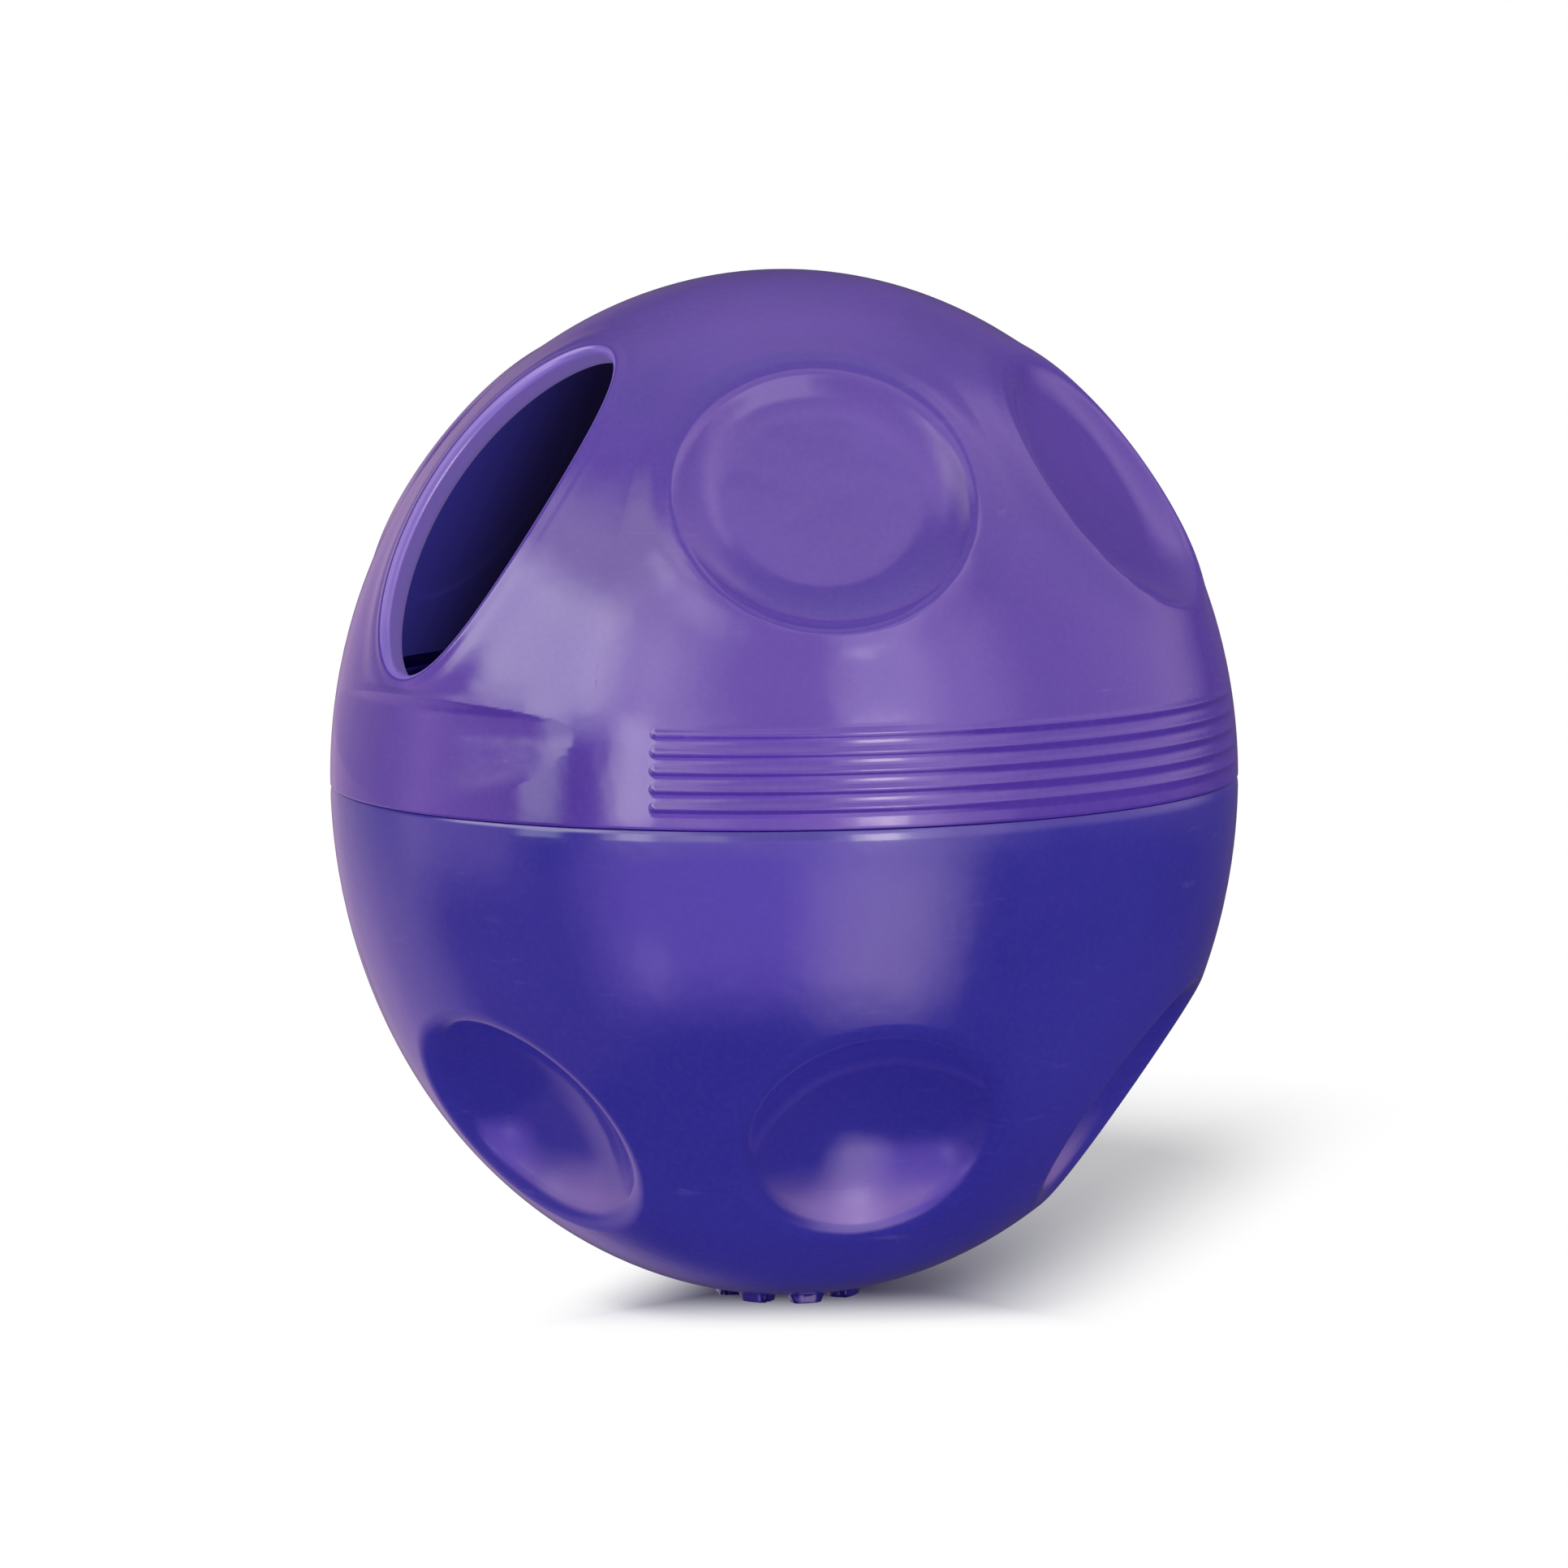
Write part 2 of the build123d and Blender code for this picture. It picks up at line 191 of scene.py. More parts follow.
class FeatureFrame:
    """A feature's own frame: x round the ball, y up it, h out along its axis."""

    def __init__(self, feature, azimuth, height):
        angle = math.radians(azimuth)
        tilt, roll = math.radians(feature.tilt), math.radians(feature.roll)
        out = np.array([math.sin(angle), -math.cos(angle), 0.0])
        around = np.array([math.cos(angle), math.sin(angle), 0.0])
        upward = -math.sin(tilt) * out + np.array([0, 0, math.cos(tilt)])
        self.axis = math.cos(tilt) * out + np.array([0, 0, math.sin(tilt)])
        on_egg = out * float(egg_radius(feature.z, EQUATOR, height)) + np.array([0, 0, feature.z])
        self.centre = on_egg + upward * feature.lift
        self.x_way = around * math.cos(roll) + upward * math.sin(roll)
        self.y_way = -around * math.sin(roll) + upward * math.cos(roll)

    def to(self, points):
        offset = points - self.centre
        return offset @ self.x_way, offset @ self.y_way, offset @ self.axis

    def at(self, x, y, h):
        x, y, h = (v[..., None] for v in np.broadcast_arrays(x, y, h))
        return self.centre + x * self.x_way + y * self.y_way + h * self.axis

    def egg_height(self, x, y, radius, height):
        """Height along the axis where the line through x, y meets the egg."""
        start = self.at(x, y, np.zeros_like(x))
        weights = np.array([1 / radius**2, 1 / radius**2, 1 / height**2])
        a = (self.axis**2) @ weights
        b = 2 * (start * self.axis) @ weights
        c = (start * start) @ weights - 1
        return (-b + np.sqrt(np.maximum(b * b - 4 * a * c, 0))) / (2 * a)


def humps(bead, distance):
    return sum(rise * np.exp(-(((distance - place) / width) ** 2))
               for rise, place, width in bead)


def dimple_distance(frame, dimple, points, grow):
    """Distance to the dimple's tool, negative inside it."""
    x, y, h = frame.to(points)
    beyond = np.maximum(np.hypot(x, y) - dimple.flat, 0)
    return np.hypot(beyond, h - (dimple.arc - dimple.depth)) - dimple.arc - grow


def dimple_bead(frame, dimple, points):
    """Height of the low bead round a dimple's mouth."""
    x, y, _ = frame.to(points)
    return humps(dimple.bead, np.hypot(x, y) - dimple.mouth)


def oval_distance(frame, points):
    x, y, _ = frame.to(points)
    a, b = OPENING.half_width, OPENING.half_height
    return scaled_distance(np.hypot(x / a, y / b), np.hypot(x / a**2, y / b**2))


def beaded_skin(frame, points):
    """The upper skin with the bead round the treat opening."""
    bead = humps(OPENING.bead, oval_distance(frame, points))
    return egg(points, EQUATOR, TOP_HEIGHT) - bead


def opening_wall(frame, points):
    """The upper wall round the treat opening, with rounded edges."""
    wall = rounded_max(beaded_skin(frame, points), -oval_distance(frame, points), OPENING.lip)
    return rounded_max(wall, -egg(points, *skin_size(UPPER, True)), OPENING.back)


def gradient(distance, points, step=2e-3):
    result = np.empty_like(points)
    for i in range(3):
        move = np.zeros(3)
        move[i] = step
        result[..., i] = (distance(points + move) - distance(points - move)) / (2 * step)
    return result


def settle(distance, points, direction=None, steps=8):
    """Moves points onto distance = 0, along a fixed direction or straight down it."""
    for _ in range(steps):
        value = distance(points)
        slope = gradient(distance, points)
        if direction is None:
            square = np.maximum((slope * slope).sum(-1), 0.05)
            points = points - value[..., None] * slope / square[..., None]
        else:
            along = slope @ direction
            along = np.where(np.abs(along) < 0.15, np.where(along < 0, -0.15, 0.15), along)
            points = points - np.clip(value / along, -0.6, 0.6)[..., None] * direction
    return points


# ---------------------------------------------------------------------------
# Mesh building

class Mesh:
    """Collects points, normals (zero where the mesh's own will do) and faces."""

    def __init__(self):
        self.points, self.normals, self.count = [], [], 0
        self.faces, self.slots, self.slot = [], [], OUTER_SLOT

    def add(self, points, normals=None):
        points = np.asarray(points, float).reshape(-1, 3)
        if normals is None:
            normals = np.zeros_like(points)
        self.points.append(points)
        self.normals.append(np.asarray(normals, float).reshape(-1, 3))
        ids = np.arange(self.count, self.count + len(points))
        self.count += len(points)
        return ids

    def at(self, ids):
        return np.concatenate(self.points)[ids]

    def add_faces(self, faces):
        self.faces.append(faces)
        self.slots.append(np.full(len(faces), self.slot))

    def strip(self, lower, upper, flip=False):
        """Quads between two closed rows of equal length."""
        quads = np.stack([lower, np.roll(lower, -1), np.roll(upper, -1), upper], 1)
        self.add_faces(quads[:, ::-1] if flip else quads)

    def fan(self, ring, tip, flip=False):
        """Triangles from a ring to its tip; -1 stands for the missing fourth corner."""
        size = len(ring)
        faces = np.stack([ring, np.roll(ring, -1), np.full(size, tip), np.full(size, -1)], 1)
        self.add_faces(faces[:, [1, 0, 2, 3]] if flip else faces)

    def build(self, name):
        co = np.concatenate(self.points)
        given = np.concatenate(self.normals)
        faces = np.concatenate(self.faces)
        sizes = np.where(faces[:, 3] < 0, 3, 4)
        loops = faces.reshape(-1)
        loops = loops[loops >= 0]
        starts = np.concatenate([[0], np.cumsum(sizes)[:-1]])
        slots = np.concatenate(self.slots)
        data = bpy.data.meshes.new(name)
        data.vertices.add(len(co))
        co = co * [RADIAL_FIT, RADIAL_FIT, 1.0] + [0, 0, PART_Z]
        data.vertices.foreach_set("co", (co * MM).astype(np.float32).ravel())
        data.loops.add(len(loops))
        data.loops.foreach_set("vertex_index", loops.astype(np.int32))
        data.polygons.add(len(faces))
        data.polygons.foreach_set("loop_start", starts.astype(np.int32))
        data.update(calc_edges=True)
        data.validate(verbose=False)
        data.polygons.foreach_set("use_smooth", np.ones(len(faces), bool))
        data.polygons.foreach_set("material_index", slots.astype(np.int32))
        own = np.zeros(len(co) * 3, np.float32)
        data.vertex_normals.foreach_get("vector", own)
        has_given = np.linalg.norm(given, axis=1) > 0.5
        final = np.where(has_given[:, None], unit(given), own.reshape(-1, 3))
        data.normals_split_custom_set_from_vertices(final.astype(np.float32).tolist())
        ob = bpy.data.objects.new(name, data)
        bpy.context.scene.collection.objects.link(ob)
        return ob


def surface_normals(surface, azimuth, z, azimuth_step, z_step):
    """Normals of surface(azimuth, z) by central differences."""
    around = surface(azimuth + azimuth_step, z) - surface(azimuth - azimuth_step, z)
    upward = surface(azimuth, z + z_step) - surface(azimuth, z - z_step)
    return unit(np.cross(around, upward))


def column_azimuths(half, bunches, lock_steps):
    """Even columns, finer ones round each bunch, pairs where the lock steps (its azimuth and
    the side, -1 or 1, it rises towards) and one on each seam between sectors."""
    def clear(columns, places, gap):
        away = np.abs((columns[:, None] - np.array(places) + 180) % 360 - 180)
        return columns[(away > gap).all(1)]

    columns = clear(np.arange(0, 360, COLUMN_STEP), bunches, BUNCH_HALF_WIDTH + BUNCH_STEP * 0.4)
    fine = np.arange(-BUNCH_HALF_WIDTH, BUNCH_HALF_WIDTH + 1e-6, BUNCH_STEP)
    columns = np.concatenate([columns] + [place + fine for place in bunches])
    pairs = []
    for i in range(3):
        for place, side in lock_steps:
            azimuth = LOCK_START + 120 * i + place
            pairs += [azimuth, azimuth + side * LOCK_FLANK]
    seams = [(half.first_azimuth + 30 + 60 * k) % 360 for k in range(6)]
    columns = clear(clear(columns, pairs, 0.12), seams, 0.3)
    columns = np.concatenate([columns, np.array(pairs) % 360, seams])
    return np.sort(np.unique(np.round(columns, 4)))


def on_lock(columns, start, end):
    """Which columns lie between two azimuths counted from each lock's start."""
    place = (columns - LOCK_START) % 120
    return (place >= start - 1e-9) & (place <= end + 1e-9)


def add_band(mesh, half, columns, heights, surface, z_step, normal_limit=np.inf):
    """Rows of a band from its sectors to the rim; returns the first and the last.
    Normals are taken no higher than normal_limit."""
    first = previous = None
    for height in heights:
        z = np.full(len(columns), height)
        points = surface(columns, z)
        if previous is None:
            normals = unit(gradient(lambda p: egg(p, EQUATOR, half.height), points))
            first = previous = mesh.add(points, normals)
            continue
        z = np.minimum(z, normal_limit)
        ids = mesh.add(points, surface_normals(surface, columns, z, 0.02, z_step))
        mesh.strip(previous, ids, flip=half.sign > 0)
        previous = ids
    return first, previous


def add_profile(mesh, half, columns, previous, rows, masks):
    """Turned rows of height, plain radius and the radius in each mask (plain where left
    out); None is the inner skin.  Returns the last row."""
    for z, *radii in rows:
        skin = float(egg_radius(z, *skin_size(half, True)))
        radii = [skin if r is None else r for r in radii]
        radius = np.full(len(columns), radii[0])
        for mask, value in zip(masks, radii[1:]):
            radius = np.where(mask, value, radius)
        ids = mesh.add(polar(columns, radius, z))
        mesh.strip(previous, ids, flip=half.sign > 0)
        previous = ids
    return previous


# ---------------------------------------------------------------------------
# Sectors: each is a ring-shaped grid whose inner edge is the feature in its middle

def even_angles(angles, share):
    """Angles moved part of the way to an even spacing."""
    angles = np.unwrap(angles)
    count = len(angles)
    turn = 2 * math.pi if angles[-1] > angles[0] else -2 * math.pi
    base = angles.mean() - turn * (count - 1) / (2 * count)
    return angles * (1 - share) + (base + turn * np.arange(count) / count) * share


def spacing(first, count):
    """Places from 0 to 1, without the 0, in geometric steps; the first is about first."""
    low, high = 0.5, 2.0
    for _ in range(60):
        growth = (low + high) / 2
        total = first * (count if abs(growth - 1) < 1e-9 else (growth**count - 1) / (growth - 1))
        low, high = (growth, high) if total < 1 else (low, growth)
    places = np.cumsum(first * growth ** np.arange(count))
    return places / places[-1]


def add_feature_row(mesh, frame, wall, previous, x, y, h, inside):
    """A row settled onto the wall along the feature's axis."""
    points = settle(wall, frame.at(x, y, h), frame.axis)
    ids = mesh.add(points, unit(gradient(wall, points)) * (-1 if inside else 1))
    mesh.strip(previous, ids, flip=inside)
    return ids


def fill_dimple(mesh, half, ring, frame, dimple, inside):
    """Fills a sector from its edge to the middle of its dimple."""
    face = dimple.inside if inside else dimple.outside
    grow = WALL if inside else 0.0
    size = skin_size(half, inside)

    def wall(points):
        skin = egg(points, *size)
        if dimple.bead and not inside:
            skin = skin - dimple_bead(frame, dimple, points)
        return rounded_max(skin, -dimple_distance(frame, dimple, points, grow), face.edge)

    x, y, _ = frame.to(mesh.at(ring))
    angles, radii = np.unwrap(np.arctan2(y, x)), np.hypot(x, y)
    even = even_angles(angles, dimple.even)
    rows = [(angles * (1 - s) + even * s, radii * (1 - s) + face.start * s)
            for s in spacing(face.first, face.steps)]
    rows += [(even, radius) for radius in face.radii]
    previous = ring
    for angle, radius in rows:
        x, y = radius * np.cos(angle), radius * np.sin(angle)
        beyond = np.maximum(radius - dimple.flat, 0)
        arc = np.sqrt(np.maximum((dimple.arc + grow) ** 2 - beyond**2, 0))
        h = np.minimum(frame.egg_height(x, y, *size), (dimple.arc - dimple.depth) - arc)
        previous = add_feature_row(mesh, frame, wall, previous, x, y, h, inside)
    middle = frame.at(0.0, 0.0, -dimple.depth - grow)
    tip = mesh.add(middle, frame.axis * (-1 if inside else 1))[0]
    mesh.fan(previous, tip, flip=inside)


def fill_opening(mesh, ring, frame, inside):
    """Fills a sector up to the treat opening; returns the last row, and the oval's points
    and outward directions."""
    size = skin_size(UPPER, inside)

    def skin(points):
        return egg(points, *size) if inside else beaded_skin(frame, points)

    a, b = OPENING.half_width, OPENING.half_height
    ring_x, ring_y, _ = frame.to(mesh.at(ring))
    even = even_angles(np.arctan2(ring_y / b, ring_x / a), OPENING.even)
    edge_x, edge_y = a * np.cos(even), b * np.sin(even)
    out_x, out_y = np.cos(even) / a, np.sin(even) / b
    length = np.hypot(out_x, out_y)
    out_x, out_y = out_x / length, out_y / length
    # the rows stop just outside the rounded edge
    gap = (OPENING.back if inside else OPENING.lip) * 1.12
    end_x, end_y = edge_x + out_x * gap, edge_y + out_y * gap
    shares = spacing(OPENING.first, 9 if inside else 16)
    if not inside:
        # finer rows over the bead
        shares = np.concatenate([shares[shares < 0.55], np.linspace(0.6, 1.0, 13)])
    previous = ring
    for s in shares:
        x, y = ring_x * (1 - s) + end_x * s, ring_y * (1 - s) + end_y * s
        h = frame.egg_height(x, y, *size)
        previous = add_feature_row(mesh, frame, skin, previous, x, y, h, inside)
    return previous, (edge_x, edge_y, out_x, out_y)


def add_lip(mesh, frame, outer_row, inner_row, oval):
    """Edge of the treat opening: outer rounding, straight wall, inner rounding."""
    edge_x, edge_y, out_x, out_y = oval
    lip, back = OPENING.lip, OPENING.back

    def skin_height(offset, inside):
        x, y = edge_x + out_x * offset, edge_y + out_y * offset
        return frame.egg_height(x, y, *skin_size(UPPER, inside))

    def wall(points):
        return opening_wall(frame, points)

    top, bottom = skin_height(lip, False), skin_height(back, True)
    rows = []   # offset out from the oval, height
    for angle in np.linspace(0.0, math.pi / 2, 8):
        rows.append((lip * (1 - math.sin(angle)), top - lip * (1 - math.cos(angle))))
    for share in (0.33, 0.67):
        rows.append((0.0, (top - lip) * (1 - share) + (bottom + back) * share))
    for angle in np.linspace(0.0, math.pi / 2, 4):
        rows.append((back * (1 - math.cos(angle)), bottom + back * (1 - math.sin(angle))))
    mesh.slot = EDGE_SLOT
    previous = outer_row
    for offset, h in rows:
        points = frame.at(edge_x + out_x * offset, edge_y + out_y * offset, h)
        points = settle(wall, points, steps=10)
        ids = mesh.add(points, unit(gradient(wall, points)))
        mesh.strip(previous, ids)
        previous = ids
    mesh.strip(previous, inner_row)
    mesh.slot = OUTER_SLOT


def add_half(mesh, half, columns, outer_ring, previous):
    """Sectors and cap of one half, outside and inside.  outer_ring ends the outside of the
    band; previous is the last row of its inside."""
    upper = half is UPPER
    band_angle = math.asin(half.band / half.height)
    cap_angle = math.asin(half.cap / half.height)
    seam_angles = np.linspace(band_angle, cap_angle, half.side_rows + 1)[1:-1]
    first_seam = half.first_azimuth - 30
    per_sector = half.cap_columns
    cap_azimuths = first_seam + np.arange(6 * per_sector) * 60.0 / per_sector

    def add_points(inside, azimuths, angles):
        radius, height = skin_size(half, inside)
        points = polar(azimuths, radius * np.cos(angles), half.sign * height * np.sin(angles))
        normals = unit(gradient(lambda p: egg(p, radius, height), points))
        return mesh.add(points, -normals if inside else normals)

    inner_ring = add_points(True, columns, band_angle)
    mesh.strip(previous, inner_ring, flip=upper)
    opening_frame = FeatureFrame(OPENING, OPENING.azimuth, TOP_HEIGHT)
    openings = []
    for inside in (False, True):
        mesh.slot = int(inside)
        band = inner_ring if inside else outer_ring
        seam_azimuths = [(first_seam + 60 * k) % 360 for k in range(6)]
        seams = [add_points(inside, azimuth, seam_angles) for azimuth in seam_azimuths]
        cap = add_points(inside, cap_azimuths, cap_angle)
        for k in range(6):
            place = (columns - seam_azimuths[k]) % 360
            order = np.argsort(place)
            bottom = band[order[place[order] <= 60 + 1e-6]]
            top = cap[(k * per_sector + np.arange(per_sector + 1)) % (6 * per_sector)]
            # from the band up the far seam, and back along the cap and down the near one
            ring = np.concatenate([bottom, seams[(k + 1) % 6], top[::-1], seams[k][::-1]])
            if not upper:
                ring = ring[::-1]
            if upper and k == 0:
                openings.append(fill_opening(mesh, ring, opening_frame, inside))
            else:
                dimple = DISC if upper else BOWL
                frame = FeatureFrame(dimple, half.first_azimuth + 60 * k, half.height)
                fill_dimple(mesh, half, ring, frame, dimple, inside)
        if not upper and not inside:
            add_foot(mesh, cap_azimuths, cap, EQUATOR * math.cos(cap_angle))
            continue
        previous = cap
        flip = inside == upper
        for angle in np.linspace(cap_angle, math.pi / 2, (8 if inside else 14) + 1)[1:-1]:
            ids = add_points(inside, cap_azimuths, angle)
            mesh.strip(previous, ids, flip=flip)
            previous = ids
        pole = [0, 0, half.sign * skin_size(half, inside)[1]]
        tip = mesh.add(pole, [0, 0, half.sign * (-1 if inside else 1)])[0]
        mesh.fan(previous, tip, flip=flip)
    mesh.slot = OUTER_SLOT
    if upper:
        (outer_row, oval), (inner_row, _) = openings
        add_lip(mesh, opening_frame, outer_row, inner_row, oval)


# ---------------------------------------------------------------------------
# Upper shell

def cubic(xs, ys):
    """Natural cubic spline through the points, as a function."""
    n = len(xs)
    h = np.diff(xs)
    matrix, right = np.eye(n), np.zeros(n)
    for i in range(1, n - 1):
        matrix[i, i - 1 : i + 2] = h[i - 1], 2 * (h[i - 1] + h[i]), h[i]
        right[i] = 6 * ((ys[i + 1] - ys[i]) / h[i] - (ys[i] - ys[i - 1]) / h[i - 1])
    bend = np.linalg.solve(matrix, right)

    def spline(x):
        x = np.asarray(x, float)
        i = np.clip(np.searchsorted(xs, x) - 1, 0, n - 2)
        after, before = xs[i + 1] - x, x - xs[i]
        return (
            bend[i] * after**3 / (6 * h[i]) + bend[i + 1] * before**3 / (6 * h[i])
            + (ys[i] / h[i] - bend[i] * h[i] / 6) * after
            + (ys[i + 1] / h[i] - bend[i + 1] * h[i] / 6) * before
        )
    return spline


scoop_radius = cubic(
    np.array([SCOOP_BOTTOM, 1.2, 3.0, 5.0, 6.1, 6.95, SCOOP_TOP]),
    np.array([31.10, 30.86, 30.5, 30.12, 29.95, 30.02,
              float(egg_radius(SCOOP_TOP, EQUATOR, TOP_HEIGHT)) - 0.04]))


def scooped(azimuth, z):
    """Radius of the band: the egg, cut by a scoop turned about its own axis."""
    away = np.abs((azimuth + 90) % 180 - 90)   # degrees from the nearer scoop's middle
    cos, sin = np.cos(np.radians(away)), np.sin(np.radians(away))
    turned = scoop_radius(np.clip(z, SCOOP_BOTTOM, SCOOP_TOP)) + SCOOP_SHIFT
    cut = -SCOOP_SHIFT * cos + np.sqrt(np.maximum(turned**2 - (SCOOP_SHIFT * sin) ** 2, 0))
    # the crease is crisp in the middle and softens where the scoop runs out
    softness = 0.035 + 0.16 * np.clip(away / 24, 0, 1) ** 2
    skin = egg_radius(z, EQUATOR, TOP_HEIGHT)
    depth = skin - cut
    depth = 0.5 * (depth + np.sqrt(depth * depth + softness * softness)) - 0.5 * softness
    fade = smooth((SCOOP_TOP + 0.05 - z) / 0.09) * smooth((30 - away) / 3)
    return skin - np.maximum(depth, 0) * fade


def rib_height(azimuth, z):
    beyond = np.full(np.broadcast(azimuth, z).shape, 1e3)   # mm past the nearer arc's end
    for start, end in RIB_ARCS:
        middle, reach = (start + end) / 2, (end - start) / 2 - RIB_TAPER
        past = np.abs((azimuth - middle + 180) % 360 - 180) - reach
        beyond = np.minimum(beyond, np.maximum(past, 0) * math.pi / 180 * EQUATOR)
    total = np.zeros(beyond.shape)
    for rib_z in RIBS:
        distance = np.hypot(z - rib_z, beyond)
        total = total + RIB_RISE * np.exp(-((distance / RIB_RADIUS) ** 2) * RIB_SHARPNESS)
    return total


def band_surface(azimuth, z):
    return polar(azimuth, scooped(azimuth, z) + rib_height(azimuth, z), z)


def build_upper():
    mesh = Mesh()
    rib_ends = [end for arc in RIB_ARCS for end in arc]
    columns = column_azimuths(UPPER, rib_ends, [(0.0, -1), (RIDGE_ARC, -1), (LOCK_END, 1)])
    heights = [UPPER.band, 7.62, 7.53, 7.48, 7.44, 7.40, 7.35, 7.28, 7.20, 7.11, 7.02, 6.92,
               6.82, 6.70, 6.58]
    for rib_z in RIBS[::-1]:
        heights += [rib_z + o for o in (0.40, 0.32, 0.22, 0.09, -0.09, -0.22, -0.32, -0.40)]
    heights += [0.75, 0.5, 0.32, 0.2]
    outer_ring, previous = add_band(mesh, UPPER, columns, heights, band_surface, z_step=0.004)
    # rounded outer edge of the rim
    edge_radius = scooped(columns, np.full(len(columns), BAND_EDGE))
    for degrees in (15, 35, 55, 75, 90):
        cos, sin = math.cos(math.radians(degrees)), math.sin(math.radians(degrees))
        points = polar(columns, edge_radius - BAND_EDGE * (1 - cos), BAND_EDGE * (1 - sin))
        ids = mesh.add(points, polar(columns, cos, -sin))
        mesh.strip(ids, previous)
        previous = ids
    # the rim's flat end, and the inside of the band with the lock's ridges and stops:
    # height, radius off the lock, on the ridge, on the stop
    skin = skin_size(UPPER, True)
    rows = [
        (0.0, float(egg_radius(0, *skin)) + 0.15),
        (0.12, None),
        (0.8, None),
        (1.30, None, RIDGE_IN + 0.25, RIDGE_IN + 0.25),
        (1.55, None, RIDGE_IN, RIDGE_IN),
        (2.72, None, RIDGE_IN, RIDGE_IN),
        (2.80, None, RIDGE_IN + 0.08, RIDGE_IN),
        # a hair inside the row before it, which has the same height
        (2.80, float(egg_radius(2.81, *skin)), None, RIDGE_IN),
        (4.70, None, None, RIDGE_IN),
        (4.80, None, None, RIDGE_IN + 0.08),
        (5.40, None),
        (6.4, None),
    ]
    masks = [on_lock(columns, 0.0, LOCK_END), on_lock(columns, RIDGE_ARC, LOCK_END)]
    previous = add_profile(mesh, UPPER, columns, previous, rows, masks)
    add_half(mesh, UPPER, columns, outer_ring, previous)
    return mesh.build("upper_shell_plastic")


# ---------------------------------------------------------------------------
# Lower shell

def pad_depth_inside(x, y):
    """How far inside a foot pad's outline a point is."""
    azimuth, radius = np.arctan2(x, -y), np.hypot(x, y)
    period = 2 * math.pi / PAD_COUNT
    angle = azimuth % period - period / 2
    past_x = np.abs(radius * np.sin(angle)) - (PAD_WIDTH / 2 - PAD_CORNER)
    past_y = np.abs(radius * np.cos(angle) - PAD_RING) - (PAD_DEPTH / 2 - PAD_CORNER)
    corner = np.hypot(np.maximum(past_x, 0), np.maximum(past_y, 0))
    return PAD_CORNER - corner - np.minimum(np.maximum(past_x, past_y), 0)


def foot_height(x, y):
    z = -BASE_HEIGHT * np.sqrt(np.maximum(1 - (x * x + y * y) / EQUATOR**2, 0))
    share = smooth((pad_depth_inside(x, y) + 0.01) / PAD_EDGE)
    return z * (1 - share) + np.minimum(PAD_Z, z) * share


def pad_columns(azimuths):
    """Even columns bent so that several fall on each pad's sides."""
    period = 360.0 / PAD_COUNT
    side = period / 2 - math.degrees(PAD_WIDTH / 2 / PAD_RING)
    place = (azimuths / period) % 1.0
    # first half of a period, mirrored: share of the columns, degrees from the start
    share = np.array([0.0, 0.14, 0.20, 0.26, 0.32])
    degrees = side * np.array([0.0, 0.8, 1.0, 1.12, 1.4])
    share = np.concatenate([share, [0.5], 1 - share[::-1]])
    degrees = np.concatenate([degrees, [period / 2], period - degrees[::-1]])
    return azimuths - place * period + np.interp(place, share, degrees)


def add_foot(mesh, azimuths, cap, cap_radius):
    """Bottom of the lower half, with its ring of foot pads."""
    lead = PAD_RING + PAD_DEPTH / 2 + 0.45
    radii = list(np.linspace(cap_radius, lead, 9))[1:]
    # rows crowd over the pads' outer and inner edges
    offsets = np.array([0.16, 0.06, 0.0, -0.05, -0.10, -0.16, -0.28, -0.45, -0.68])
    radii += list(PAD_RING + PAD_DEPTH / 2 + offsets)
    radii += list(PAD_RING - PAD_DEPTH / 2 - offsets[::-1])
    radii += [3.0, 2.4, 1.6, 0.8]
    bent = pad_columns(azimuths)
    step = 0.01
    previous = cap
    for radius in radii:
        # columns are drawn in towards the pads' sides
        share = float(smooth((cap_radius - radius) / (cap_radius - lead)))
        angle = np.radians(bent * share + azimuths * (1 - share))
        x, y = np.sin(angle) * radius, -np.cos(angle) * radius
        slope_x = (foot_height(x + step, y) - foot_height(x - step, y)) / (2 * step)
        slope_y = (foot_height(x, y + step) - foot_height(x, y - step)) / (2 * step)
        normals = unit(np.stack([slope_x, slope_y, -np.ones_like(x)], -1))
        ids = mesh.add(np.stack([x, y, foot_height(x, y)], -1), normals)
        mesh.strip(previous, ids, flip=True)
        previous = ids
    tip = mesh.add([0, 0, -BASE_HEIGHT], [0, 0, -1])[0]
    mesh.fan(previous, tip, flip=True)


def rim_surface(azimuth, z):
    """The egg, and above -RIM_BLEND a circle-like blend to the set-back rim."""
    start_radius = float(egg_radius(RIM_BLEND, EQUATOR, BASE_HEIGHT))
    slope = EQUATOR**2 * RIM_BLEND / (BASE_HEIGHT**2 * start_radius)
    t = np.clip((z + RIM_BLEND) / (RIM_TOP_Z + RIM_BLEND), 0, 1)
    drop = (start_radius - RIM_TOP_RADIUS) * (1 - np.sqrt(np.maximum(1 - t**2, 0)))
    blend = start_radius + slope * (z + RIM_BLEND) * (1 - t) - drop
    skin = egg_radius(z, EQUATOR, BASE_HEIGHT)
    return polar(azimuth, np.where(z < -RIM_BLEND, skin, blend), z)


